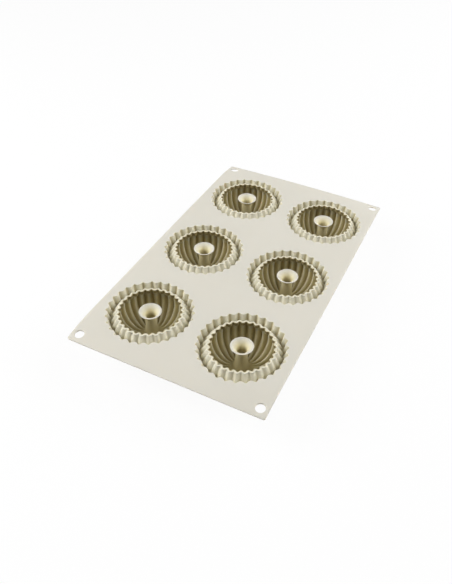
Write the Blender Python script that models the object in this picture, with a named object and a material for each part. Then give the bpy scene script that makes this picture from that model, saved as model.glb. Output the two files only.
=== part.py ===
"""Silicone mini cake mould: a flat flexible sheet with six ribbed ring-cake cups.

The real mould is pressed in one piece. It is drawn here as the regions it is
designed from, each a solid of its own with a hairline seam to its neighbour:
the top sheet, and for each cup a fluted crown, a ribbed bowl and a centre tube.

Units are metres. X runs along the short side, Y along the long side, Z up.
The origin is on the table, below the middle of the sheet.
"""

import math

import bmesh
import bpy
from mathutils import Matrix

# The sheet reaches past its outer cups by these margins
SIDE_MARGIN = 0.00505
END_MARGIN = 0.0151
SHEET_THICKNESS = 0.002
SHEET_CORNER_RADIUS = 0.0015
HANG_HOLE_RADIUS = 0.004
HANG_HOLE_INSET_X = 0.007       # from the long edge to the hole's centre
HANG_HOLE_INSET_Y = 0.0075      # from the short edge to the hole's centre

# The grid of cups, and the flat sheet left between two neighbouring crowns
COLUMNS = 2
ROWS = 3
COLUMN_GAP = 0.0065
ROW_GAP = 0.0161

# The wall of every cup, and the seam drawn between neighbouring regions
SKIN = 0.002
SEAM = 0.0003

# Flutes of the crown and ribs of the bowl share one count and one phase
FLUTES = 30
FLUTE_HEIGHT = 0.0018           # crest to trough of the crown's flutes
RIB_HEIGHT = 0.0020             # crest to trough of the bowl's ribs

# The crown: an outer fluted wall, a V groove and a wavy collar with a lip
APERTURE_RADIUS = 0.0367        # middle line of the flutes at the sheet's top
FLUTE_LEAN = 0.0030             # how far the fluted wall leans in down to the groove
GROOVE_DEPTH = 0.0085
COLLAR_INSET = 0.0073           # from the groove's bottom to the collar's inner face
LIP_DEPTH = 0.0030              # straight part of the collar's inner face
THROAT_DEPTH = 0.0068           # where the undercut below the lip ends

# The bowl: a ring-shaped hollow with an elliptical section
UNDERCUT = 0.0048               # how far the bowl spreads out below the collar
BOWL_DEPTH = 0.0315
WAIST_DEPTH = 0.0120            # level where the wall starts to curve in
WALL_REACH = 0.0142             # from the bowl's widest line in to its deepest one
FOOT_WIDTH = 0.0090             # flat ring that the cup stands on

# The centre tube: a trumpet-shaped skin, open right through
TUBE_RIM_RADIUS = 0.0101
TUBE_NECK_RADIUS = 0.00465
TUBE_NECK_DEPTH = 0.0090
TUBE_BASE_RADIUS = 0.0080
TUBE_BASE_DEPTH = 0.0220        # level where the tube starts to flare into the floor
TUBE_WALL = 0.0014

# Facets: the back of a skin has one column for each flute, the front has two
BACK_SIDES = FLUTES
FRONT_SIDES = 2 * FLUTES
TUBE_SIDES = 16
FLARE_TURN = 50.0               # degrees of the flare's arc that the tube keeps

# Worked out from the sizes above
TOP = BOWL_DEPTH + SKIN
GROOVE_RADIUS = APERTURE_RADIUS - FLUTE_LEAN
COLLAR_RADIUS = GROOVE_RADIUS - COLLAR_INSET    # inner face of the collar, middle line
BOWL_RADIUS = COLLAR_RADIUS + UNDERCUT          # widest inner radius, middle line of the ribs
FLOOR_RADIUS = BOWL_RADIUS - WALL_REACH         # deepest line of the hollow
CROWN_DEPTH = GROOVE_DEPTH + SKIN
CROWN_RADIUS = APERTURE_RADIUS + FLUTE_HEIGHT / 2 + SKIN
PITCH_X = 2 * CROWN_RADIUS + COLUMN_GAP
PITCH_Y = 2 * CROWN_RADIUS + ROW_GAP
SHEET_WIDTH = (COLUMNS - 1) * PITCH_X + 2 * (CROWN_RADIUS + SIDE_MARGIN)
SHEET_LENGTH = (ROWS - 1) * PITCH_Y + 2 * (CROWN_RADIUS + END_MARGIN)


def clear_scene():
    for old in list(bpy.data.objects):
        bpy.data.objects.remove(old, do_unlink=True)


def silicone(name, colour, roughness):
    """A pale silicone rubber; colour is linear RGB."""
    material = bpy.data.materials.new(name)
    material.use_nodes = True
    shader = material.node_tree.nodes["Principled BSDF"]
    shader.inputs["Base Color"].default_value = (*colour, 1.0)
    shader.inputs["Roughness"].default_value = roughness
    shader.inputs["Metallic"].default_value = 0.0
    return material


def add_object(name, bm, material):
    """Turn the mesh being edited into a smooth-shaded object."""
    bmesh.ops.recalc_face_normals(bm, faces=bm.faces)
    mesh = bpy.data.meshes.new(name)
    bm.to_mesh(mesh)
    bm.free()
    mesh.materials.append(material)
    mesh.shade_smooth()
    mesh.set_sharp_from_angle(angle=math.radians(35))
    obj = bpy.data.objects.new(name, mesh)
    bpy.context.scene.collection.objects.link(obj)
    return obj


def loop_of_points(bm, radius, drop, wave, sides):
    """One level of a cup's skin: a ring of points, drop below the sheet's top.

    wave is half the flute height: points at a flute's cusp move out by it and
    the points half-way between two cusps move in by it.
    """
    ring = []
    for i in range(sides):
        angle = 2 * math.pi * i / sides
        r = radius + wave * math.cos(FLUTES * angle)
        ring.append(bm.verts.new((r * math.cos(angle), r * math.sin(angle), TOP - drop)))
    return ring


def join_loops(bm, first, second):
    """Skin two rings of points; one may have twice the points of the other."""
    if len(first) < len(second):
        first, second = second, first
    count = len(second)
    if len(first) == count:
        for i in range(count):
            j = (i + 1) % count
            bm.faces.new((first[i], first[j], second[j], second[i]))
        return
    for i in range(count):
        j = (i + 1) % count
        start, middle, end = (first[(2 * i + k) % len(first)] for k in range(3))
        bm.faces.new((start, middle, second[i]))
        bm.faces.new((middle, second[j], second[i]))
        bm.faces.new((middle, end, second[j]))


def revolved_skin(levels):
    """Skin a closed section, given as (radius, drop, wave, sides) round the section."""
    bm = bmesh.new()
    loops = [loop_of_points(bm, *level) for level in levels]
    for i, ring in enumerate(loops):
        join_loops(bm, ring, loops[(i + 1) % len(loops)])
    return bm


def wall_arc(turn, offset):
    """Outer half of the bowl's section: turn runs from 0 at the waist to 90 at the floor."""
    t = math.radians(turn)
    return (FLOOR_RADIUS + (BOWL_RADIUS - FLOOR_RADIUS + offset) * math.cos(t),
            WAIST_DEPTH + (BOWL_DEPTH - WAIST_DEPTH + offset) * math.sin(t))


def flare_arc(turn, offset_side, offset_down):
    """Inner half of the section: from the tube's base at 0 to the floor at 90."""
    t = math.radians(turn)
    return (FLOOR_RADIUS - (FLOOR_RADIUS - TUBE_BASE_RADIUS + offset_side) * math.cos(t),
            TUBE_BASE_DEPTH + (BOWL_DEPTH - TUBE_BASE_DEPTH + offset_down) * math.sin(t))


def turn_at_depth(drop, offset_down):
    """The turn at which the flare, or its underside, passes a level."""
    return math.degrees(math.asin((drop - TUBE_BASE_DEPTH) / (BOWL_DEPTH - TUBE_BASE_DEPTH + offset_down)))


def make_crown():
    """Outer fluted wall, groove, wavy collar and lip, with a plain conical back."""
    wave = FLUTE_HEIGHT / 2
    rib = RIB_HEIGHT / 2
    front = [
        (APERTURE_RADIUS, 0.0, wave, FRONT_SIDES),
        (GROOVE_RADIUS, GROOVE_DEPTH, wave / 2, FRONT_SIDES),
        (COLLAR_RADIUS + SKIN, 0.0, wave, FRONT_SIDES),
        (COLLAR_RADIUS, 0.0, wave, FRONT_SIDES),
        (COLLAR_RADIUS, LIP_DEPTH, wave, FRONT_SIDES),
        (BOWL_RADIUS - SKIN / 4, THROAT_DEPTH, rib, FRONT_SIDES),
        (BOWL_RADIUS, CROWN_DEPTH, rib, FRONT_SIDES),
    ]
    back = [
        (GROOVE_RADIUS + SKIN, CROWN_DEPTH, 0.0, BACK_SIDES),
        (CROWN_RADIUS, SHEET_THICKNESS, 0.0, BACK_SIDES),
        (CROWN_RADIUS, 0.0, 0.0, BACK_SIDES),
    ]
    return revolved_skin(front + back)


def make_bowl():
    """The hollow's ribbed wall and floor, a plain back and the flat ring below."""
    rib = RIB_HEIGHT / 2
    seat = CROWN_DEPTH + SEAM
    front = [(BOWL_RADIUS, seat, rib, FRONT_SIDES)]
    front += [(*wall_arc(turn, 0.0), rib, FRONT_SIDES) for turn in (28.0, 58.0)]
    front += [(FLOOR_RADIUS, BOWL_DEPTH, rib / 2, FRONT_SIDES)]
    hub_drop = flare_arc(FLARE_TURN, 0.0, 0.0)[1] + SEAM
    hub = flare_arc(turn_at_depth(hub_drop, 0.0), 0.0, 0.0)
    hub_back = flare_arc(turn_at_depth(hub_drop, SKIN), TUBE_WALL, SKIN)
    front += [(*hub, 0.0, FRONT_SIDES)]
    back = [
        (*hub_back, 0.0, BACK_SIDES),
        (FLOOR_RADIUS - FOOT_WIDTH / 2, BOWL_DEPTH + SKIN, 0.0, BACK_SIDES),
        (FLOOR_RADIUS + FOOT_WIDTH / 2, BOWL_DEPTH + SKIN, 0.0, BACK_SIDES),
        (*wall_arc(35.0, SKIN), 0.0, BACK_SIDES),
        (BOWL_RADIUS + SKIN, seat, 0.0, BACK_SIDES),
    ]
    return revolved_skin(front + back)


def make_tube():
    """The trumpet: wide at the rim, narrow at the neck, flared into the floor."""
    outside = []
    for share in (1.0, 0.55, 0.0):
        outside.append((TUBE_NECK_RADIUS + (TUBE_RIM_RADIUS - TUBE_NECK_RADIUS) * share ** 2,
                        TUBE_NECK_DEPTH * (1 - share)))
    for share in (0.6, 1.0):
        outside.append((TUBE_NECK_RADIUS + (TUBE_BASE_RADIUS - TUBE_NECK_RADIUS) * share ** 2,
                        TUBE_NECK_DEPTH + (TUBE_BASE_DEPTH - TUBE_NECK_DEPTH) * share))
    foot = flare_arc(FLARE_TURN, 0.0, 0.0)
    foot_back = flare_arc(turn_at_depth(foot[1], SKIN), TUBE_WALL, SKIN)
    bore = [(r - TUBE_WALL, drop) for r, drop in reversed(outside)]
    levels = [(r, drop, 0.0, TUBE_SIDES) for r, drop in outside + [foot, foot_back] + bore]
    return revolved_skin(levels)


def cup_places():
    """Centres of the cups with a tag for their names, row by row from -Y."""
    for row in range(ROWS):
        for column in range(COLUMNS):
            x = (column - (COLUMNS - 1) / 2) * PITCH_X
            y = (row - (ROWS - 1) / 2) * PITCH_Y
            yield f"{row + 1}{chr(ord('a') + column)}", x, y


def add_punch(bm, x, y, radius, sides):
    """A short round punch through the sheet, with a corner of its outline on +X."""
    turn_to_x = Matrix.Rotation(-math.pi / 2, 4, "Z")
    place = Matrix.Translation((x, y, TOP - SHEET_THICKNESS / 2))
    bmesh.ops.create_cone(bm, cap_ends=True, segments=sides, radius1=radius, radius2=radius,
                          depth=4 * SHEET_THICKNESS, matrix=place @ turn_to_x)


def make_sheet(material):
    """The flat sheet: rounded corners, six round apertures, four hanging holes."""
    bm = bmesh.new()
    bmesh.ops.create_cube(bm, size=1.0)
    bmesh.ops.scale(bm, vec=(SHEET_WIDTH, SHEET_LENGTH, SHEET_THICKNESS), verts=bm.verts)
    bmesh.ops.translate(bm, vec=(0.0, 0.0, TOP - SHEET_THICKNESS / 2), verts=bm.verts)
    uprights = [e for e in bm.edges if abs(e.verts[0].co.z - e.verts[1].co.z) > SHEET_THICKNESS / 2]
    bmesh.ops.bevel(bm, geom=uprights, offset=SHEET_CORNER_RADIUS, segments=3, profile=0.5,
                    affect="EDGES")
    sheet = add_object("top_sheet", bm, material)

    punches = bmesh.new()
    for _tag, x, y in cup_places():
        add_punch(punches, x, y, CROWN_RADIUS + SEAM, BACK_SIDES)
    for side in (-1, 1):
        for end in (-1, 1):
            add_punch(punches, side * (SHEET_WIDTH / 2 - HANG_HOLE_INSET_X),
                            end * (SHEET_LENGTH / 2 - HANG_HOLE_INSET_Y), HANG_HOLE_RADIUS, 16)
    cutter = add_object("sheet_punches", punches, material)
    cutter.hide_render = True
    cutter.display_type = "WIRE"
    cut = sheet.modifiers.new("apertures", "BOOLEAN")
    cut.operation = "DIFFERENCE"
    cut.solver = "EXACT"
    cut.object = cutter
    return sheet


def make_cups(crown_material, bowl_material, tube_material):
    """Three named regions for each cup, repeated over the grid."""
    shapes = (("fluted_crown", make_crown, crown_material),
              ("ribbed_bowl", make_bowl, bowl_material),
              ("centre_tube", make_tube, tube_material))
    for tag, x, y in cup_places():
        cup = bpy.data.objects.new(f"cup_{tag}", None)
        cup.location = (x, y, 0.0)
        bpy.context.scene.collection.objects.link(cup)
        for name, make, material in shapes:
            region = add_object(f"{name}_{tag}", make(), material)
            region.parent = cup


clear_scene()
make_sheet(silicone("sheet_silicone", (0.72, 0.69, 0.61), 0.55))
make_cups(silicone("crown_silicone", (0.74, 0.70, 0.60), 0.50),
          silicone("bowl_silicone", (0.50, 0.45, 0.31), 0.50),
          silicone("tube_silicone", (0.72, 0.68, 0.57), 0.50))
print("mould", SHEET_WIDTH, SHEET_LENGTH, TOP)
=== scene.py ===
# %% [markdown]
# # A silicone mould for ring-shaped mini cakes
#
# The real object is one soft sheet of pale silicone with six deep cups. The mould
# could be modelled freely from here, but it would soon drift away from the packed
# solids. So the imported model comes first: every finished piece takes its place from
# it, and its box is kept, so that the finished mould can be compared with it.

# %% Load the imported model
import math

import bmesh
import bpy
import numpy as np
from mathutils import Matrix, Vector


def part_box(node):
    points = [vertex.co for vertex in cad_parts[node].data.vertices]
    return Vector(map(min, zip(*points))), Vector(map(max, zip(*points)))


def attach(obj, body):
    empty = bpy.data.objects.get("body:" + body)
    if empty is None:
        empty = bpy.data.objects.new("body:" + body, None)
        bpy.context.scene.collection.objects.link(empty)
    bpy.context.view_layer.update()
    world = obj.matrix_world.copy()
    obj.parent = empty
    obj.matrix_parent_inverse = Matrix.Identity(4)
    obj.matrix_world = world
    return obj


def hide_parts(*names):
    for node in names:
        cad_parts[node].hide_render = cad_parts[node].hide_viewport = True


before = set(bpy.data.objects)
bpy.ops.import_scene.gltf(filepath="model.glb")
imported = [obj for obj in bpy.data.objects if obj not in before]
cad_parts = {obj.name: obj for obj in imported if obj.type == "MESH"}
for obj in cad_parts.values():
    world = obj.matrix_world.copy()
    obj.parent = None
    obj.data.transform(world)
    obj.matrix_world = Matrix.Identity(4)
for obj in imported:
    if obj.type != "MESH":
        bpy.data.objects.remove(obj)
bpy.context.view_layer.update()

# %% [markdown]
# ## Where things are
#
# The sheet is a plain rectangle, and the cups stand in two columns of three. Their
# places could be typed in again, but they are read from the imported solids, so
# nothing is placed by hand. Sections of a cup are easier to read in millimetres,
# measured from the cup's own axis and down from the top of the sheet, so one number
# turns them into metres.

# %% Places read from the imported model
MM = 0.001
sheet_low, sheet_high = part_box("top_sheet")
TOP = sheet_high.z
SHEET_THICKNESS = sheet_high.z - sheet_low.z
HALF_WIDTH, HALF_LENGTH = sheet_high.x, sheet_high.y


def cup_centre(tag):
    """Where the axis of a cup stands on the sheet, from the box of its tube."""
    low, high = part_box(f"centre_tube_{tag}")
    return (low.x + high.x) / 2, (low.y + high.y) / 2


cup_tags = sorted(n.split("_")[-1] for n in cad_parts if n.startswith("centre_tube_"))
crown_low, crown_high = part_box(f"fluted_crown_{cup_tags[0]}")
CROWN_RADIUS = (crown_high.x - crown_low.x) / 2 / MM
CROWN_DEPTH = (TOP - crown_low.z) / MM
FOOT_DEPTH = TOP / MM
print("cups:", {tag: [round(v / MM, 1) for v in cup_centre(tag)] for tag in cup_tags})
print("crown radius, crown depth and foot depth, mm:",
      [round(v, 2) for v in (CROWN_RADIUS, CROWN_DEPTH, FOOT_DEPTH)])

# %% [markdown]
# ## A helper for materials
#
# A material is a graph of nodes and links. It could be wired one link at a time, but
# that takes a few lines for every node and hides what the material does. So every
# node comes from one method, which takes the node's type, its settings, and the
# values or links of its sockets.


# %% Wrap the nodes of a material
class Graph:
    """The nodes of one material, or of the world."""

    def __init__(self, tree):
        self.tree = tree

    def node(self, kind, settings=None, **sockets):
        """Add a node: its settings first, then a value or a link for each socket."""
        made = self.tree.nodes.new(kind)
        for key, value in (settings or {}).items():
            if key == "stops":
                self.fill_ramp(made.color_ramp, value)
            else:
                setattr(made, key, value)
        for key, value in sockets.items():
            self.feed(self.find(made, key), value)
        return made

    def find(self, made, key):
        """One of a node's sockets, by its name or by its number, as in _0."""
        named = [s for s in made.inputs if s.enabled and s.name == key]
        return named[0] if named else made.inputs[int(key[1:])]

    def fill_ramp(self, ramp, stops):
        while len(ramp.elements) < len(stops):
            ramp.elements.new(1.0)
        for element, (place, colour) in zip(ramp.elements, stops):
            element.position = place
            element.color = (*colour, 1.0)

    def feed(self, spot, value):
        """Set a socket, or link it if the value is a socket itself."""
        if isinstance(value, Wire):
            value = value.socket
        if isinstance(value, bpy.types.NodeSocket):
            self.tree.links.new(value, spot)
        else:
            spot.default_value = value


print("nodes can be added to a graph")

# %% [markdown]
# ## Sums in a material
#
# Some values in a material are sums and products of others. Each could be a row of
# Math nodes, but a sum is far easier to read as a sum. So one small class wraps a
# socket, and an expression on wrapped sockets adds the Math nodes that it needs.

# %% Wrap a socket, so that shader sums read like sums
class Wire:
    """A number socket that can be added, multiplied and compared."""

    def __init__(self, graph, socket):
        self.graph, self.socket = graph, socket

    def maths(self, operation, other):
        made = self.graph.node("ShaderNodeMath", {"operation": operation}, _0=self, _1=other)
        return Wire(self.graph, made.outputs[0])

    def __add__(self, other):
        return self.maths("ADD", other)

    def __mul__(self, other):
        return self.maths("MULTIPLY", other)

    def larger(self, other):
        return self.maths("MAXIMUM", other)

    __radd__ = __add__
    __rmul__ = __mul__


print("sockets can be added, multiplied and compared")

# %% [markdown]
# ## The colours of the silicone, with painted shade
#
# In the deep, narrow parts of the mould the pale rubber looks olive brown, because
# light that gets out of them has bounced off tinted walls many times. Bounced light
# in the renderer shows only a part of that. So each point of the mould also carries
# a painted shade, from 0 on the open sheet to 1 on the inner face of a collar, and a
# ramp of five colours paints it into the base colour. After the sheet's own colour
# comes a slightly brighter one, a painted glow of light through thin skin, and then
# three painted shades, each deeper than the last. The open parts are the sheet and
# the crowns, which keep paler painted shades than the bowls and tubes inside the cups.

# %% Five colours, from the open sheet's own colour to the darkest painted shade
# The sheet's own colour, a painted glow, and three painted shades that deepen into a cup.
SHEET_COLOUR = (0.705, 0.678, 0.600)
PAINTED_GLOW_COLOUR = (0.750, 0.716, 0.600)
SHADED_COLOUR = {"open": (0.730, 0.700, 0.550), "inside": (0.765, 0.705, 0.470)}
DEEP_SHADE_COLOUR = {"open": (0.545, 0.480, 0.315), "inside": (0.540, 0.466, 0.250)}
DARKEST_SHADE_COLOUR = (0.230, 0.180, 0.065)
RAMP_PLACES = (0.0, 0.10, 0.40, 0.8, 1.0)


def ramp_stops(family):
    colours = (SHEET_COLOUR, PAINTED_GLOW_COLOUR, SHADED_COLOUR[family], DEEP_SHADE_COLOUR[family],
               DARKEST_SHADE_COLOUR)
    return list(zip(RAMP_PLACES, colours))


print("shades inside a cup:", ramp_stops("inside"))

# %% [markdown]
# ## The skin of the silicone
#
# Pressed silicone has a satin skin: it is neither glossy nor chalky, with a very fine
# grain from the steel tool and the faintest clouding of its colour, and a little
# light passes through it where it is thin. A single colour with one roughness would
# look like paint. Here three noises in the object's own coordinates vary the colour,
# the roughness and, through a bump, the surface. One recipe serves every region,
# because the mould is one piece of rubber.

# %% One recipe for every region of the mould
CLOUD_SCALE, CLOUD_DETAIL, CLOUD_DEPTH = 22.0, 3.0, 0.06
CLOUD_BASE = (0.97, 0.97, 0.965)
PATCH_SCALE, PATCH_DETAIL, PATCH_DEPTH = 55.0, 4.0, 0.10
GRAIN_SCALE, GRAIN_DETAIL = 1900.0, 2.0
GRAIN_HEIGHT, GRAIN_STRENGTH = 0.00002, 0.35
SKIN_SETTINGS = {
    "Specular IOR Level": 0.35,
    "Subsurface Weight": 0.35,
    "Subsurface Radius": (1.0, 0.92, 0.8),
    "Subsurface Scale": 0.0015,
}


def silicone(name, roughness, family):
    """A silicone with its own roughness and one of the two families of painted shades."""
    material = bpy.data.materials.new(name)
    material.use_nodes = True
    g = Graph(material.node_tree)
    skin = g.tree.nodes["Principled BSDF"]
    place = g.node("ShaderNodeTexCoord").outputs["Object"]
    # The shade layer holds painted shade, and the ramp paints it into the base colour.
    shade = g.node("ShaderNodeAttribute", {"attribute_name": "shade"}).outputs["Fac"]
    shade_paint = g.node("ShaderNodeValToRGB", {"stops": ramp_stops(family)}, Fac=shade)
    cloud = g.node("ShaderNodeTexNoise", Vector=place, Scale=CLOUD_SCALE, Detail=CLOUD_DETAIL)
    veil = CLOUD_DEPTH * Wire(g, cloud.outputs["Fac"])
    red, green, blue = (base + veil for base in CLOUD_BASE)
    clouding = g.node("ShaderNodeCombineColor", Red=red, Green=green, Blue=blue)
    colour = g.node("ShaderNodeMix", {"data_type": "RGBA", "blend_type": "MULTIPLY"},
                    _0=1.0, _6=shade_paint.outputs["Color"], _7=clouding.outputs[0])
    g.feed(skin.inputs["Base Color"], colour.outputs[2])
    patch = g.node("ShaderNodeTexNoise", Vector=place, Scale=PATCH_SCALE, Detail=PATCH_DETAIL)
    patches = PATCH_DEPTH * Wire(g, patch.outputs["Fac"])
    g.feed(skin.inputs["Roughness"], patches + (roughness - PATCH_DEPTH / 2))
    grain = g.node("ShaderNodeTexNoise", Vector=place, Scale=GRAIN_SCALE, Detail=GRAIN_DETAIL)
    bump = g.node("ShaderNodeBump", Height=grain.outputs["Fac"], Distance=GRAIN_HEIGHT,
                  Strength=GRAIN_STRENGTH)
    g.feed(skin.inputs["Normal"], bump.outputs["Normal"])
    for socket, value in SKIN_SETTINGS.items():
        skin.inputs[socket].default_value = value
    return material


print("light goes into the skin by about", SKIN_SETTINGS["Subsurface Scale"] / MM, "mm")

# %% [markdown]
# ## Four finishes
#
# The regions differ a little: the sheet is the dullest, the crowns are smoother, and
# the bowls and tubes are the smoothest. One material could serve them all, but each
# region is to be reused by itself and has its own slot, so each gets its own.

# %% Make the four finishes
FINISHES = {"sheet": (0.55, "open"), "crown": (0.50, "open"),
            "bowl": (0.48, "inside"), "tube": (0.48, "inside")}

silicone_of = {part: silicone(f"satin_rubber_{part}", *finish) for part, finish in FINISHES.items()}
print("materials:", sorted(m.name for m in silicone_of.values()))

# %% [markdown]
# ## Drawing a section
#
# Each cup is a turned skin about 2 mm thick, with flutes pressed into it. It could
# be modelled face by face, but a section that is spun about the cup's axis is far
# shorter. A section is a closed row of corners. Each has its distance from the
# axis, its drop below the sheet, the radius that rounds it, and eight marks, which
# say what the flutes and the shade do there. Between two corners the marks change
# evenly, so a few corners describe a whole skin.


# %% A corner of a section, with its marks
class Station:
    """A point of the section: radius and drop in mm, and what the skin does there.

    wave is half the height of the flutes, beads is 0 for folds and 1 for beads,
    full is 1 for a zigzag, 2 for round lobes and more for flat ones, tilt is how
    far the flutes lean out of the level plane, shade is painted shade, by how deep
    in the mould the point looks, crease is painted shade that is added where two
    lobes meet, and with a minus sign taken away to paint a lighter ridge, a painted
    highlight, and fade is how quickly that painted shade is lost beside it. soft is
    1 where beads have rounded backs and feet.
    """

    MARKS = ("wave", "beads", "full", "tilt", "shade", "crease", "fade", "soft")

    def __init__(self, r, drop, fillet=0.0, **marks):
        self.r, self.drop, self.fillet = r, drop, fillet
        self.marks = {key: marks.get(key, 0.0) for key in self.MARKS}

    def towards(self, other, share):
        mixed = {key: a + (other.marks[key] - a) * share for key, a in self.marks.items()}
        return Station(self.r + (other.r - self.r) * share,
                       self.drop + (other.drop - self.drop) * share, **mixed)

    def distance(self, other):
        return math.hypot(other.r - self.r, other.drop - self.drop)


print("a station carries", ", ".join(Station.MARKS))

# %% [markdown]
# ## Rounding the corners
#
# A pressing has no sharp corners, because the steel tool has none. A bevel after the
# spin would have to work on a hundred thousand edges, and on flutes it would make a
# mess. It is simpler to round the section: each corner becomes an arc that touches
# both its sides. Where a side is too short for its two arcs, they get smaller.

# %% Round the corners of a section
FILLET_STEPS = 4
FILLET_SHARE = 0.48


def round_corners(path):
    """Replace each corner that has a fillet by an arc that touches both its sides."""
    rounded = []
    for i, corner in enumerate(path):
        if corner.fillet == 0.0:
            rounded.append(corner)
            continue
        before, after = path[i - 1], path[(i + 1) % len(path)]
        here = Vector((corner.r, corner.drop))
        a = Vector((before.r - corner.r, before.drop - corner.drop)).normalized()
        b = Vector((after.r - corner.r, after.drop - corner.drop)).normalized()
        half = a.angle(b) / 2
        reach = min(corner.fillet / math.tan(half), FILLET_SHARE * corner.distance(before),
                    FILLET_SHARE * corner.distance(after))
        radius = reach * math.tan(half)
        centre = here + (a + b).normalized() * (radius / math.sin(half))
        start = here + a * reach - centre
        turn = start.angle_signed(here + b * reach - centre)
        for k in range(FILLET_STEPS + 1):
            share = k / FILLET_STEPS
            if share < 0.5:
                point = corner.towards(before, (1 - 2 * share) * reach / corner.distance(before))
            else:
                point = corner.towards(after, (2 * share - 1) * reach / corner.distance(after))
            point.r, point.drop = centre + Matrix.Rotation(-turn * share, 2) @ start
            rounded.append(point)
    return rounded


bend = round_corners([Station(0, 0), Station(5, 0, 2.0), Station(5, 5)])
print("a corner of 2 mm becomes", len(bend) - 2, "points")

# %% [markdown]
# ## Long stretches and curves
#
# Flutes can only be pressed into a skin that has points to move, so long straight
# stretches are split into steps of about a millimetre. The bowl's wall curves all
# the way, and corners placed by hand would show on it as bands. So parts of
# ellipses draw it, each with a centre, two sizes and the marks at its two ends.

# %% Split long stretches and draw arcs
LONGEST_STEP = 1.25


def split_long(path):
    """Add points so that no step of the section is much longer than a millimetre."""
    fine = []
    for i, start in enumerate(path):
        end = path[(i + 1) % len(path)]
        steps = max(1, math.ceil(start.distance(end) / LONGEST_STEP))
        fine += [start.towards(end, k / steps) for k in range(steps)]
    return fine


PLAIN = {}


def arc_stations(centre, sizes, turns, steps, first=PLAIN, last=PLAIN):
    """Points of an ellipse, with marks that run from the first set to the last.

    Turns are in degrees: 0 is straight out, 90 straight down and 180 straight in.
    """
    start, end = Station(*centre, **first), Station(*centre, **last)
    points = []
    for k in range(steps + 1):
        share = k / steps
        turn = math.radians(turns[0] + (turns[1] - turns[0]) * share)
        point = start.towards(end, share)
        point.r += sizes[0] * math.cos(turn)
        point.drop += sizes[1] * math.sin(turn)
        points.append(point)
    return points


print("a stretch of 10 mm becomes", len(split_long([Station(0, 0), Station(10, 0)])) // 2, "steps")

# %% [markdown]
# ## The shape of a flute
#
# Thirty flutes run round every cup, all in step. The outer wall has narrow creases
# that point outwards between round lobes, and the collar and the bowl have beads
# that point outwards between narrow ribs. A sine wave would make creases and lobes
# alike. So each flute is a power of how near a point is to its crease, and a higher
# power makes a narrower crease. The columns of points crowd where the flutes turn
# sharply.

# %% How far a flute stands out
FLUTES = 30
COLUMN_CROWDING = 0.5
CREASE_ROUNDING = 0.36


def crowd(angle):
    """Move a column of points towards the nearest line on which flutes turn sharply."""
    return angle - COLUMN_CROWDING / FLUTES / 2 * math.sin(2 * FLUTES * angle)


def from_crease(angle):
    """How far an angle is from the nearest crease: 0 there, 1 on top of a lobe."""
    share = abs((angle * FLUTES / math.tau + 0.5) % 1.0 - 0.5) * 2
    low = CREASE_ROUNDING
    return (math.hypot(share, low) - low) / (math.hypot(1.0, low) - low)


def flute(angle, beads, full, fade, soft=0.0):
    """How far the skin moves out, from -1 to 1, and how deep in a crease it is."""
    fold, bead = from_crease(angle), from_crease(angle + math.pi / FLUTES)
    out_fold = 2 * (1 - fold) ** full - 1
    sharp = (1 - bead) ** full
    out_bead = 1 - 2 * (sharp + soft * (sharp * sharp * (3 - 2 * sharp) - sharp))
    creased = (1 - fold) ** fade, (1 - bead) ** fade
    return out_fold + (out_bead - out_fold) * beads, creased[0] + (creased[1] - creased[0]) * beads


print("folds at 0, 1.5, 3 and 6 degrees:",
      [round(flute(math.radians(a), 0.0, 2.0, 1.0)[0], 2) for a in (0, 1.5, 3, 6)])

# %% [markdown]
# ## Pressing the flutes
#
# The real tool forms the skin and its flutes at once. Here a smooth skin comes
# first, and the flutes are pressed into it. A wave modifier or a texture would push
# every part alike, but the flutes change from the rim to the floor. So each point
# carries its own marks in the mesh, and one function moves it in or out by what
# they say and sets its painted shade.


# %% Press the flutes into a smooth skin
def press_flutes(bm, layers):
    """Move each point of a turned skin in or out, and give it its painted shade."""
    for vert in bm.verts:
        mark = {key: vert[layer] for key, layer in layers.items()}
        angle = crowd(math.atan2(vert.co.y, vert.co.x))
        out, creased = flute(angle, mark["beads"], mark["full"], mark["fade"], mark["soft"])
        push, slope = mark["wave"] * out * MM, math.radians(mark["tilt"])
        radius = math.hypot(vert.co.x, vert.co.y) + push * math.cos(slope)
        vert.co = (radius * math.cos(angle), radius * math.sin(angle),
                   vert.co.z - push * math.sin(slope))
        # Painted shade: darker in creases, and lighter on ridges where the crease mark is negative, a
        # painted highlight.
        vert[layers["shade"]] = mark["shade"] + mark["crease"] * creased


print("points can be moved by their marks")

# %% [markdown]
# ## Spinning a section into a fluted skin
#
# All thirty flutes are alike, so one slice of twelve degrees is spun from the
# section and pressed, and the slice is then repeated round the axis and welded. To
# press a full turn would make the same shape with thirty times the work. The spin
# copies the marks to its new points, and at the end only the painted shade stays on
# the mesh, for the material.

# %% Spin a skin and press its flutes
COLUMNS_PER_FLUTE = 20
SLICE_ANGLE = 2 * math.pi / FLUTES
UPRIGHT = {"cent": (0, 0, 0), "axis": (0, 0, 1), "dvec": (0, 0, 0)}
WELD_DISTANCE = 0.002 * MM


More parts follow.
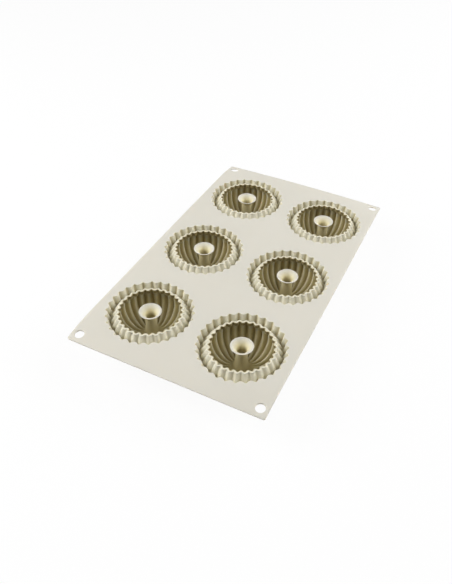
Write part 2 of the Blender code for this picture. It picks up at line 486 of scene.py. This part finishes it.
def spun_skin(name, path, columns=COLUMNS_PER_FLUTE):
    """Spin a closed section about the upright axis and press the flutes into it."""
    bm = bmesh.new()
    layers = {key: bm.verts.layers.float.new(key) for key in Station.MARKS}
    ring = []
    for s in split_long(round_corners(path)):
        vert = bm.verts.new((s.r * MM, 0.0, -s.drop * MM))
        for key, layer in layers.items():
            vert[layer] = s.marks[key]
        ring.append(vert)
    edges = [bm.edges.new((ring[i - 1], ring[i])) for i in range(len(ring))]
    bmesh.ops.spin(bm, geom=ring + edges, angle=SLICE_ANGLE, steps=columns, **UPRIGHT)
    press_flutes(bm, layers)
    bmesh.ops.spin(bm, geom=bm.verts[:] + bm.edges[:] + bm.faces[:], use_duplicate=True,
                   angle=SLICE_ANGLE * (FLUTES - 1), steps=FLUTES - 1, **UPRIGHT)
    bmesh.ops.remove_doubles(bm, verts=bm.verts, dist=WELD_DISTANCE)
    bmesh.ops.recalc_face_normals(bm, faces=bm.faces)
    for key in Station.MARKS:
        if key != "shade":
            bm.verts.layers.float.remove(bm.verts.layers.float[key])
    mesh = bpy.data.meshes.new(name)
    bm.to_mesh(mesh)
    bm.free()
    print(name, len(mesh.polygons), "faces")
    return mesh


print("a slice spans", round(math.degrees(SLICE_ANGLE), 1), "degrees")

# %% [markdown]
# ## The crown
#
# Round the mouth of each cup runs a fluted wall, then a V groove, then a wavy
# collar only 2 mm thick whose crest is level with the sheet. Inside, the collar
# drops straight for 3 mm and then opens under itself, so the cup's mouth is
# narrower than its belly. Wall and collar could be two pieces, but one section can
# draw both, and then no seam shows between them. The section meets the sheet and
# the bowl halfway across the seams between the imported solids.

# %% Sizes of the crown
SKIN = 2.0
HALF_SEAM = 0.15
SEAM_RADIUS = CROWN_RADIUS + HALF_SEAM
SEAM_DROP = CROWN_DEPTH + HALF_SEAM
APERTURE, GROOVE, COLLAR, BELLY = 36.6, 33.7, 26.2, 31.2
GROOVE_DROP, LIP_DROP, THROAT_DROP, CREST_DROP = 9.2, 3.0, 6.6, -0.15
GROOVE_HALF = 0.7
GROOVE_OUT, GROOVE_IN = GROOVE + GROOVE_HALF, GROOVE - GROOVE_HALF
SHEET_DROP = SHEET_THICKNESS / MM
print("radius of a cup's collar and belly, mm:", COLLAR, BELLY)

# %% [markdown]
# ## Kinds of flute
#
# On the outer wall the flutes are crisp folds, which look like slots from above. On
# the collar they are rounded beads, and below the lip they grow into the ribs of
# the bowl. The change from folds to beads is hidden at the bottom of the groove.
# The marks could be written out at every corner, but most corners share them, so
# each kind of flute is one set of marks with its own name.

# %% Marks of each kind of flute
slot = {"beads": 0.0, "full": 2.2, "fade": 2.6}
fold = {"beads": 0.0, "full": 2.4, "fade": 4.0}
bead = {"beads": 1.0, "full": 2.3, "fade": 3.0}
lip = {"beads": 1.0, "full": 1.2, "wave": 0.85, "fade": 2.0, "soft": 0.8}
rib = {"beads": 1.0, "full": 1.3, "wave": 1.85, "fade": 1.8, "soft": 1.0}
# The negative crease on the ribs paints their ridges lighter: a painted highlight.
waist = {**rib, "shade": 0.89, "crease": -0.64}
back = {"beads": 1.0, "full": 1.5, "wave": 0.6}
print("height of the ribs and of the lip's beads, mm:", 2 * rib["wave"], 2 * lip["wave"])

# %% [markdown]
# ## The crown's section
#
# The section runs from the sheet down the outer wall, up the collar, over its crest
# and down inside to the bowl, and then back under the groove. Its painted shade is
# light on the crest and full just inside it, where the photograph is darkest. The
# back could follow every fold, but the photograph doesn't show it, so it goes
# straight below the groove and then slants up to the sheet.

# %% Draw the crown's section
# Painted shade: shade darkens the groove and the inside of the collar, crease paints shade into the
# slots and between the beads, and on the ribs it paints lighter ridges.
crown_path = [
    Station(SEAM_RADIUS, 0.0),
    Station(APERTURE + 0.5, 0.0, wave=0.9, **slot),
    Station(APERTURE, 0.0, 0.35, wave=1.05, shade=0.03, crease=0.30, **slot),
    Station(APERTURE - 0.2, 0.9, wave=1.05, shade=0.10, crease=0.72, **slot),
    Station(GROOVE + 1.6, GROOVE_DROP - 4.0, wave=1.0, shade=0.18, crease=0.60, **slot),
    Station(GROOVE_OUT + 0.3, GROOVE_DROP - 2.0, wave=1.0, shade=0.45, crease=0.5, **fold),
    Station(GROOVE_OUT, GROOVE_DROP, 0.4, wave=0.9, shade=0.65, **fold),
    Station(GROOVE_IN, GROOVE_DROP, 0.4, wave=0.9, shade=0.65, **bead),
    Station(GROOVE_IN - 0.6, GROOVE_DROP - 2.0, wave=1.0, shade=0.55, crease=0.15, **bead),
    Station(GROOVE_IN - 1.6, GROOVE_DROP - 4.0, wave=0.95, shade=0.26, crease=0.08, **bead),
    Station(COLLAR + SKIN + 0.1, 0.8, wave=0.85, shade=0.15, crease=0.03, **bead),
    Station(COLLAR + SKIN, CREST_DROP, 0.5, wave=0.8, beads=1.0, full=1.7, fade=5.0, shade=0.04),
    Station(COLLAR, CREST_DROP, 0.4, shade=0.8, **lip),
    Station(COLLAR, 0.4, shade=1.0, **lip),
    Station(COLLAR, LIP_DROP, 0.6, shade=0.90, **lip),
    Station(BELLY - 0.5, THROAT_DROP, 1.6, shade=0.84, crease=-0.5, **rib),
    Station(BELLY, SEAM_DROP, **waist),
    Station(BELLY + SKIN, SEAM_DROP, **back),
    Station(GROOVE + 2.0, SEAM_DROP - 0.2, 1.2, wave=0.3, beads=0.5, full=2.0),
    Station(SEAM_RADIUS - 0.5, SHEET_DROP, 0.8, wave=0.5, full=2.0),
    Station(SEAM_RADIUS, SHEET_DROP, full=2.0),
]
crown_mesh = spun_skin("crown_skin", crown_path)

# %% [markdown]
# ## The bowl
#
# The belly of the cup is a ring-shaped hollow. A half circle would be the simple
# section for it, but in the photograph its outer wall is upright at the waist and
# curves in below. So the wall is a quarter of an ellipse, and part of a smaller
# ellipse, the flare, rises to the tube. Each has a back, which is its own ellipse
# grown by the thickness there, and the flat ring between the two backs is what the
# mould stands on.

# %% Sizes of the bowl
FLOOR, FLOOR_DROP, WAIST_DROP = 17.0, 31.5, 12.0
TUBE_BASE, TUBE_BASE_DROP, TUBE_WALL = 6.6, 22.0, 1.2
FLARE_TURN = 50.0
WALL_CENTRE, FLARE_CENTRE = (FLOOR, WAIST_DROP), (FLOOR, TUBE_BASE_DROP)
WALL_SIZES = (BELLY - FLOOR, FLOOR_DROP - WAIST_DROP)
FLARE_SIZES = (FLOOR - TUBE_BASE, FLOOR_DROP - TUBE_BASE_DROP)
BACK_WALL = (WALL_SIZES[0] + SKIN, WALL_SIZES[1] + SKIN)
BACK_FLARE = (FLARE_SIZES[0] + TUBE_WALL, FLARE_SIZES[1] + SKIN)
FLARE_SEAM_DROP = TUBE_BASE_DROP + FLARE_SIZES[1] * math.sin(math.radians(FLARE_TURN)) + HALF_SEAM


def turn_at(drop, sizes):
    """The turn in degrees at which the flare, or its back, comes to a level."""
    return 180 - math.degrees(math.asin((drop - TUBE_BASE_DROP) / sizes[1]))


flare_end, back_end = turn_at(FLARE_SEAM_DROP, FLARE_SIZES), turn_at(FLARE_SEAM_DROP, BACK_FLARE)
print("the bowl meets the tube", round(FLARE_SEAM_DROP, 2), "mm below the sheet")

# %% [markdown]
# ## The ribs and the bowl's section
#
# Rounded ribs run down the bowl in line with the collar's valleys. They could be
# separate bars, but they are part of the pressing, so they are flutes like the
# others. They lean with the wall, so on the floor they stand up, and they die out
# on the flare. The outside has only faint waves, which fade towards the foot.

# %% Draw the bowl's section
FLARE_FOOT, BACK_FLARE_FOOT, BACK_WALL_FOOT = 94, 118, 62
FOOT_HALF, FOOT_FILLET = 4.5, 0.6
WALL_STEPS, BACK_WALL_STEPS, FLARE_STEPS, BACK_FLARE_STEPS = 24, 14, 7, 4
# Painted shade in the bowl: dark valleys, and the negative crease paints the ribs' ridges lighter, a
# painted highlight.
bottom = {**rib, "tilt": 90, "wave": 1.2, "shade": 0.93, "crease": -0.68}
flare_foot = {**bottom, "tilt": FLARE_FOOT, "wave": 1.1}
flare_seam = {**rib, "tilt": 130, "wave": 0.6, "shade": 0.76, "crease": -0.25}
back_foot = {**back, "tilt": BACK_WALL_FOOT, "wave": 0.0}

bowl_path = [Station(BELLY, SEAM_DROP, **waist)]
bowl_path += arc_stations(WALL_CENTRE, WALL_SIZES, (0, 90), WALL_STEPS, waist, bottom)
bowl_path += arc_stations(FLARE_CENTRE, FLARE_SIZES, (FLARE_FOOT, flare_end), FLARE_STEPS,
                          flare_foot, flare_seam)
bowl_path += arc_stations(FLARE_CENTRE, BACK_FLARE, (back_end, BACK_FLARE_FOOT), BACK_FLARE_STEPS)
bowl_path += [Station(FLOOR - FOOT_HALF, FOOT_DEPTH, FOOT_FILLET),
              Station(FLOOR + FOOT_HALF, FOOT_DEPTH, FOOT_FILLET)]
bowl_path += arc_stations(WALL_CENTRE, BACK_WALL, (BACK_WALL_FOOT, 0), BACK_WALL_STEPS,
                          back_foot, back)
bowl_path += [Station(BELLY + SKIN, SEAM_DROP, **back)]
bowl_mesh = spun_skin("bowl_skin", bowl_path)

# %% [markdown]
# ## The centre tube
#
# The tube lets hot air up through the middle of the cake. It is a trumpet: wide and
# thin at the rim, narrow at the neck, and wide again where it grows out of the
# floor. A curve through hand-placed points would wobble, so two power curves that
# meet at the neck draw it. Its wall is the same all the way, so the bore follows
# the outside.

# %% One side of the tube
RIM, NECK, NECK_DROP = 10.1, 5.05, 9.0
MOUTH_POWER, STEM_POWER = 2.8, 3.0
MOUTH_STEPS, STEM_STEPS = 12, 10


def tube_side(offset, shades, rise):
    """The tube from its rim to its base, offset towards the axis.

    It has the two painted shades at its neck and its base, and rise is how late the
    first one comes in below the rim.
    """
    side = []
    for k in range(MOUTH_STEPS + 1):
        share = 1 - k / MOUTH_STEPS
        side.append(Station(NECK + (RIM - NECK) * share ** MOUTH_POWER - offset,
                            NECK_DROP * (1 - share), shade=shades[0] * (1 - share) ** rise))
    for k in range(1, STEM_STEPS + 1):
        share = k / STEM_STEPS
        side.append(Station(NECK + (TUBE_BASE - NECK) * share ** STEM_POWER - offset,
                            NECK_DROP + (TUBE_BASE_DROP - NECK_DROP) * share,
                            shade=shades[0] + (shades[1] - shades[0]) * share))
    return side


print("radius of the tube's rim and neck, mm:", RIM, NECK)

# %% [markdown]
# ## The tube's section
#
# The section runs down the outside, round the flare to the seam with the bowl, and
# back up the bore. Painted shade darkens the outside soon below the rim, where the
# collar hides it from the light, and darkens the bore more slowly but further. A plain
# pipe would do for the smooth top, but the tube's foot takes the ends of the bowl's
# ribs, so the tube is spun like the other skins, with fewer columns.

# %% Draw the tube's section
# Painted shade on the tube: darker below the rim, on the outside and in the bore.
OUTSIDE_SHADES, OUTSIDE_RISE = (0.60, 0.70), 0.5
BORE_SHADES, BORE_RISE = (0.85, 0.5), 0.9
FLARE_TOP = 176
RIM_FILLET = 0.6
TUBE_COLUMNS = 12
flare_top = {**rib, "tilt": FLARE_TOP, "wave": 0.0, "shade": OUTSIDE_SHADES[1]}

tube_path = tube_side(0.0, OUTSIDE_SHADES, OUTSIDE_RISE)
bore = tube_side(TUBE_WALL, BORE_SHADES, BORE_RISE)
tube_path[0].fillet = bore[0].fillet = RIM_FILLET
tube_path += arc_stations(FLARE_CENTRE, FLARE_SIZES, (FLARE_TOP, flare_end), FLARE_STEPS,
                          flare_top, flare_seam)
tube_path += arc_stations(FLARE_CENTRE, BACK_FLARE, (back_end, FLARE_TOP), FLARE_STEPS)
tube_path += bore[::-1]
tube_mesh = spun_skin("tube_skin", tube_path, TUBE_COLUMNS)

# %% [markdown]
# ## How the sheet hangs
#
# Silicone is floppy. Round the cups it is held flat, but past the last row the
# sheet droops by a couple of millimetres, most at the corners, and its long edges
# bow out by less than a millimetre. A cloth simulation could show that, but it
# would also bend the stiff cups. One smooth rule is enough: it moves every point
# by how near it is to the sheet's edges, and less the deeper it lies in a cup.

# %% The droop
DROOP_START = 118.0 * MM
END_DROOP = 1.9 * MM
CORNER_DROOP = 0.9 * MM
SIDE_BOW = 0.5 * MM
END_BOW = 0.6 * MM
STIFF_DEPTH = 9.0 * MM


def hang(mesh):
    """Move the points of a flat mould's mesh to where they come to rest."""
    points = np.empty(3 * len(mesh.vertices), dtype=np.float32)
    mesh.vertices.foreach_get("co", points)
    x, y, z = points.reshape(-1, 3).T
    past = np.clip((abs(y) - DROOP_START) / (HALF_LENGTH - DROOP_START), 0, 1)
    held = np.clip(1 - (TOP - z) / STIFF_DEPTH, 0, 1)
    across, along = x / HALF_WIDTH, y / HALF_LENGTH
    z -= past ** 2 * (END_DROOP + CORNER_DROOP * across ** 2) * held
    x += SIDE_BOW * across ** 5 * (1 - along ** 2) * held
    y += END_BOW * along ** 5 * (1 - across ** 2) * held
    mesh.vertices.foreach_set("co", points)
    mesh.update()


print("corners fall by", round((END_DROOP + CORNER_DROOP) / MM, 2), "mm")

# %% [markdown]
# ## Making a finished piece
#
# The mould is one piece of rubber, but here it is kept in the same regions as the
# imported solids, so that each one can be reused by itself. Every region gets the
# droop, its silicone and smooth shading, which is broken only at real corners. Then
# it is tied to the body, and the imported solid that it stands for is hidden. One
# function does all that, so no piece can be left loose.

# %% Finish one piece
CORNER_ANGLE = math.radians(50)


def finish_piece(name, mesh, region, node):
    """Hang a mesh, give it its silicone, tie it to the body and hide the imported part that it stands
    for.
    """
    hang(mesh)
    mesh.materials.append(silicone_of[region])
    mesh.shade_smooth()
    mesh.set_sharp_from_angle(angle=CORNER_ANGLE)
    piece = bpy.data.objects.new(name, mesh)
    bpy.context.scene.collection.objects.link(piece)
    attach(piece, "root")
    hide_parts(node)


print("smooth shading breaks at", round(math.degrees(CORNER_ANGLE)), "degrees")

# %% [markdown]
# ## Setting the cups in their places
#
# Every cup is the same, so each section has been spun only once, and copies of the
# three skins are moved to the six centres. Linked copies of one mesh would be
# smaller, but the sheet droops most near its ends, so each cup needs its own mesh.
# The move goes into the mesh, and the object itself stays at the origin.

# %% Place the cups
for tag in cup_tags:
    for template, region, node in ((crown_mesh, "crown", "fluted_crown"),
                                   (bowl_mesh, "bowl", "ribbed_bowl"),
                                   (tube_mesh, "tube", "centre_tube")):
        mesh = template.copy()
        mesh.transform(Matrix.Translation((*cup_centre(tag), TOP)))
        finish_piece(f"{region}_skin_{tag}", mesh, region, f"{node}_{tag}")
for template in (crown_mesh, bowl_mesh, tube_mesh):
    bpy.data.meshes.remove(template)
print("cup pieces:", 3 * len(cup_tags))

# %% [markdown]
# ## The sheet
#
# The sheet is a 2 mm plate with rounded corners. A plain box would be the shortest
# way, but it has no points to droop with. So it starts as a grid, gets its
# thickness from an extrusion, and has its four corners bevelled.

# %% Make the plate
CELL = 4.0 * MM
CORNER_ROUND = 1.6 * MM
CORNER_STEPS = 5
ON_EDGE = MM / 10


def plate(name):
    """A flat plate of small cells, with its four upright corners rounded."""
    bm = bmesh.new()
    bmesh.ops.create_grid(bm, x_segments=round(2 * HALF_WIDTH / CELL),
                          y_segments=round(2 * HALF_LENGTH / CELL), size=1.0)
    bmesh.ops.scale(bm, vec=(HALF_WIDTH, HALF_LENGTH, 1.0), verts=bm.verts)
    grown = bmesh.ops.extrude_face_region(bm, geom=bm.faces[:])
    raised = [g for g in grown["geom"] if isinstance(g, bmesh.types.BMVert)]
    bmesh.ops.translate(bm, vec=(0, 0, SHEET_THICKNESS), verts=raised)
    bmesh.ops.translate(bm, vec=(0, 0, TOP - SHEET_THICKNESS), verts=bm.verts)
    bmesh.ops.recalc_face_normals(bm, faces=bm.faces)
    corners = [e for e in bm.edges if abs(e.verts[0].co.z - e.verts[1].co.z) > SHEET_THICKNESS / 2
               and abs(abs(e.verts[0].co.x) - HALF_WIDTH) < ON_EDGE
               and abs(abs(e.verts[0].co.y) - HALF_LENGTH) < ON_EDGE]
    bmesh.ops.bevel(bm, geom=corners, offset=CORNER_ROUND, segments=CORNER_STEPS, profile=0.5,
                    affect="EDGES", material=-1)
    mesh = bpy.data.meshes.new(name)
    bm.to_mesh(mesh)
    bm.free()
    plate_object = bpy.data.objects.new(name, mesh)
    bpy.context.scene.collection.objects.link(plate_object)
    return plate_object


sheet = plate("sheet_skin")
print("plate:", len(sheet.data.polygons), "faces")

# %% [markdown]
# ## The holes in the sheet
#
# Each cup hangs in a big round hole, and a small hole in each corner lets the mould
# dry on a hook. The holes could be built into the grid, but round ones would
# disturb its rows, so they are punched out with round cutters. With 240 sides a big
# hole stays within a hundredth of a millimetre of the crown's round edge, so no gap
# shows between them.

# %% Punch the holes
APERTURE_SIDES = 240
HANG_RADIUS = 4.0 * MM
HANG_INSET = (7.0 * MM, 7.5 * MM)
HANG_SIDES = 48
PUNCH_DEPTH = 6 * SHEET_THICKNESS


def punch(x, y, radius, sides):
    """A round cutter through the sheet, with a corner of its outline on +X."""
    bm = bmesh.new()
    place = Matrix.Translation((x, y, TOP)) @ Matrix.Rotation(-math.pi / 2, 4, "Z")
    bmesh.ops.create_cone(bm, cap_ends=True, segments=sides, radius1=radius, radius2=radius,
                          depth=PUNCH_DEPTH, matrix=place)
    mesh = bpy.data.meshes.new("punch")
    bm.to_mesh(mesh)
    bm.free()
    cutter = bpy.data.objects.new("punch", mesh)
    bpy.context.scene.collection.objects.link(cutter)
    return cutter


punches = [punch(*cup_centre(tag), SEAM_RADIUS * MM, APERTURE_SIDES) for tag in cup_tags]
hang_places = [(sx * (HALF_WIDTH - HANG_INSET[0]), sy * (HALF_LENGTH - HANG_INSET[1]))
               for sx in (-1, 1) for sy in (-1, 1)]
punches += [punch(x, y, HANG_RADIUS, HANG_SIDES) for x, y in hang_places]
for cutter in punches:
    cut = sheet.modifiers.new("cut", "BOOLEAN")
    cut.operation, cut.solver, cut.object = "DIFFERENCE", "EXACT", cutter
bpy.context.view_layer.update()
cut_mesh = bpy.data.meshes.new_from_object(sheet.evaluated_get(bpy.context.evaluated_depsgraph_get()))
bpy.data.objects.remove(sheet)
for cutter in punches:
    bpy.data.objects.remove(cutter)
print("cut sheet:", len(cut_mesh.polygons), "faces")

# %% [markdown]
# ## The edges of the sheet
#
# The cut edge of pressed silicone is soft, and its thin rounding catches a line of
# light in the photograph. A bevel on every sharp edge would also open the seams to
# the crowns, so only the outline and the hanging holes are rounded. Then the sheet
# gets its shade layer, which stays 0, and becomes a piece like the others.

# %% Round the sheet's edges
EDGE_ROUND = 0.35 * MM
EDGE_STEPS = 3
RIM_ANGLE = math.radians(60)
HOLE_REACH = 1.2 * HANG_RADIUS


def on_rim(edge):
    """An edge of the sheet's outline or of a hanging hole, at the top or underside."""
    if len(edge.link_faces) != 2 or edge.calc_face_angle() < RIM_ANGLE:
        return False
    if abs(edge.verts[0].co.z - edge.verts[1].co.z) > SHEET_THICKNESS / 2:
        return False
    middle = (edge.verts[0].co + edge.verts[1].co) / 2
    near_hole = any(math.hypot(middle.x - x, middle.y - y) < HOLE_REACH for x, y in hang_places)
    on_edge = abs(middle.x) > HALF_WIDTH - CORNER_ROUND or abs(middle.y) > HALF_LENGTH - CORNER_ROUND
    return near_hole or on_edge


bm = bmesh.new()
bm.from_mesh(cut_mesh)
bpy.data.meshes.remove(cut_mesh)
bmesh.ops.bevel(bm, geom=[e for e in bm.edges if on_rim(e)], offset=EDGE_ROUND, segments=EDGE_STEPS,
                profile=0.5, affect="EDGES", material=-1)
bm.verts.layers.float.new("shade")
bmesh.ops.triangulate(bm, faces=[f for f in bm.faces if len(f.verts) > 4])
sheet_mesh = bpy.data.meshes.new("sheet_skin")
bm.to_mesh(sheet_mesh)
bm.free()
finish_piece("sheet_skin", sheet_mesh, "sheet", "top_sheet")
print("sheet:", len(sheet_mesh.polygons), "faces")

# %% [markdown]
# ## The camera
#
# The photograph looks down on the mould by about 43 degrees, from its near right. A
# camera could be aimed by eye, but the flutes show an error of half a degree. So
# the camera is set from readings: its place, its two angles and slight roll, and
# the focal length in pixels. A small shift frames the mould a little above and left
# of the middle, as the photograph does.

# %% Set the camera
CAMERA_PLACE = Vector((171.67, -388.01, 354.28)) * MM + Vector((0, 0, TOP))
AZIMUTH, ELEVATION, ROLL = (math.radians(v) for v in (24.0, 42.88, 2.375))
IMAGE_WIDTH, IMAGE_HEIGHT = 452, 584
FOCAL_PIXELS = 595.0
CENTRE_PIXEL = (242.5, 293.16)
SENSOR_SIZE = 36.0
CLIP_NEAR, CLIP_FAR = 0.01, 20.0

forward = Vector((-math.sin(AZIMUTH) * math.cos(ELEVATION),
                  math.cos(AZIMUTH) * math.cos(ELEVATION), -math.sin(ELEVATION)))
level_right = Vector((math.cos(AZIMUTH), math.sin(AZIMUTH), 0.0))
level_up = level_right.cross(forward)
right = level_right * math.cos(ROLL) + level_up * math.sin(ROLL)
up = right.cross(forward)

camera_data = bpy.data.cameras.new("camera")
camera_data.sensor_width = SENSOR_SIZE
camera_data.lens = FOCAL_PIXELS * SENSOR_SIZE / IMAGE_HEIGHT
camera_data.shift_x = (IMAGE_WIDTH / 2 - CENTRE_PIXEL[0]) / IMAGE_HEIGHT
camera_data.shift_y = (CENTRE_PIXEL[1] - IMAGE_HEIGHT / 2) / IMAGE_HEIGHT
camera_data.clip_start, camera_data.clip_end = CLIP_NEAR, CLIP_FAR
camera = bpy.data.objects.new("camera", camera_data)
camera.matrix_world = Matrix((
    (right.x, up.x, -forward.x, CAMERA_PLACE.x),
    (right.y, up.y, -forward.y, CAMERA_PLACE.y),
    (right.z, up.z, -forward.z, CAMERA_PLACE.z),
    (0, 0, 0, 1)))
bpy.context.scene.collection.objects.link(camera)
bpy.context.scene.camera = camera
print("lens and shift:",
      [round(v, 4) for v in (camera_data.lens, camera_data.shift_x, camera_data.shift_y)])

# %% [markdown]
# ## The backdrop
#
# The photograph shows the mould on pure white. Enough light on a white backdrop
# would do that, but it would also wash out the mould. Instead the camera sees the
# backdrop as white through the ray type, and so do reflections and rays through
# clear things. Every other ray meets a dim grey, so the light on the mould can stay
# at a level at which colours render as they are written.

# %% White where the camera looks
WORLD_LEVEL = 0.06
WHITE = (1, 1, 1, 1)


def seen_directly(g):
    """1 for the rays on which a background shows, 0 for the rest."""
    rays = g.node("ShaderNodeLightPath")
    seen = Wire(g, rays.outputs["Is Camera Ray"])
    for kind in ("Is Glossy Ray", "Is Transmission Ray"):
        seen = seen.larger(rays.outputs[kind])
    return seen


world = bpy.data.worlds.new("studio")
world.use_nodes = True
bpy.context.scene.world = world
studio = Graph(world.node_tree)
dim = studio.node("ShaderNodeBackground", Color=WHITE, Strength=WORLD_LEVEL)
bright = studio.node("ShaderNodeBackground", Color=WHITE, Strength=1.0)
shown = studio.node("ShaderNodeMixShader", _0=seen_directly(studio), _1=dim.outputs[0],
                    _2=bright.outputs[0])
studio.feed(studio.tree.nodes["World Output"].inputs["Surface"], shown.outputs[0])
studio.tree.nodes.remove(studio.tree.nodes["Background"])
print("world level:", WORLD_LEVEL)

# %% [markdown]
# ## The floor
#
# The mould stands on a plain white floor. It could be left out, as the photograph
# shows no edge of it, but its shadow and its bounced light make the mould look as
# if it stands on something. The same ray type whitens it. A small share of the real
# floor stays in the mix, so that the mould keeps its faint shadow.

# %% Lay the floor
FLOOR_SIZE = 6.0
FLOOR_GAP = 0.05 * MM
FLOOR_GREY, FLOOR_ROUGHNESS = 0.94, 0.9
WHITE_SHARE = 0.93

floor_bm = bmesh.new()
bmesh.ops.create_grid(floor_bm, x_segments=1, y_segments=1, size=FLOOR_SIZE / 2)
floor_mesh = bpy.data.meshes.new("floor")
floor_bm.to_mesh(floor_mesh)
floor_bm.free()
floor = bpy.data.objects.new("floor", floor_mesh)
floor.location.z = -FLOOR_GAP
bpy.context.scene.collection.objects.link(floor)

paint = bpy.data.materials.new("floor_white")
paint.use_nodes = True
g = Graph(paint.node_tree)
matt = g.tree.nodes["Principled BSDF"]
matt.inputs["Base Color"].default_value = (FLOOR_GREY, FLOOR_GREY, FLOOR_GREY, 1)
matt.inputs["Roughness"].default_value = FLOOR_ROUGHNESS
glow = g.node("ShaderNodeEmission", Color=WHITE, Strength=1.0)
shown = g.node("ShaderNodeMixShader", _0=WHITE_SHARE * seen_directly(g), _1=matt.outputs[0],
               _2=glow.outputs[0])
g.feed(g.tree.nodes["Material Output"].inputs["Surface"], shown.outputs[0])
floor_mesh.materials.append(paint)
print("floor:", FLOOR_SIZE, "m")

# %% [markdown]
# ## The studio lights
#
# The photograph's light is soft and comes mostly from the two sides: the left and
# right flanks of the flutes and tubes are lit, and the faces that look at the
# camera are a little darker. A single overhead panel would light them all alike.
# So square panels stand at both sides, low and high, with one behind on the right
# for the far edges and a weak one in front.

# %% Hang the panels
PANEL_DISTANCE = 1.3
PANEL_SIZE = 0.8
PANELS = (
    ("right_low", 90, 20, 4.0),
    ("right_middle", 90, 35, 6.2),
    ("right_back", 135, 35, 4.8),
    ("left_low", 270, 20, 3.9),
    ("left_middle", 270, 35, 9.2),
    ("left_high", 270, 50, 2.4),
    ("front", 0, 60, 1.9),
)


def soft_panel(name, turn, rise, power):
    """A square panel aimed at the mould: turn from the camera, rise above the floor."""
    data = bpy.data.lights.new(name, "AREA")
    data.shape, data.size, data.energy = "SQUARE", PANEL_SIZE, power
    lamp = bpy.data.objects.new(name, data)
    around = AZIMUTH - math.pi / 2 + math.radians(turn)
    rise = math.radians(rise)
    lamp.location = PANEL_DISTANCE * Vector((math.cos(around) * math.cos(rise),
                                             math.sin(around) * math.cos(rise), math.sin(rise)))
    lamp.rotation_euler = (-lamp.location).to_track_quat("-Z", "Y").to_euler()
    bpy.context.scene.collection.objects.link(lamp)


for panel in PANELS:
    soft_panel(*panel)
bpy.context.scene.view_settings.view_transform = "Standard"
print(len(PANELS), "panels with", round(sum(panel[3] for panel in PANELS), 1), "W in all")
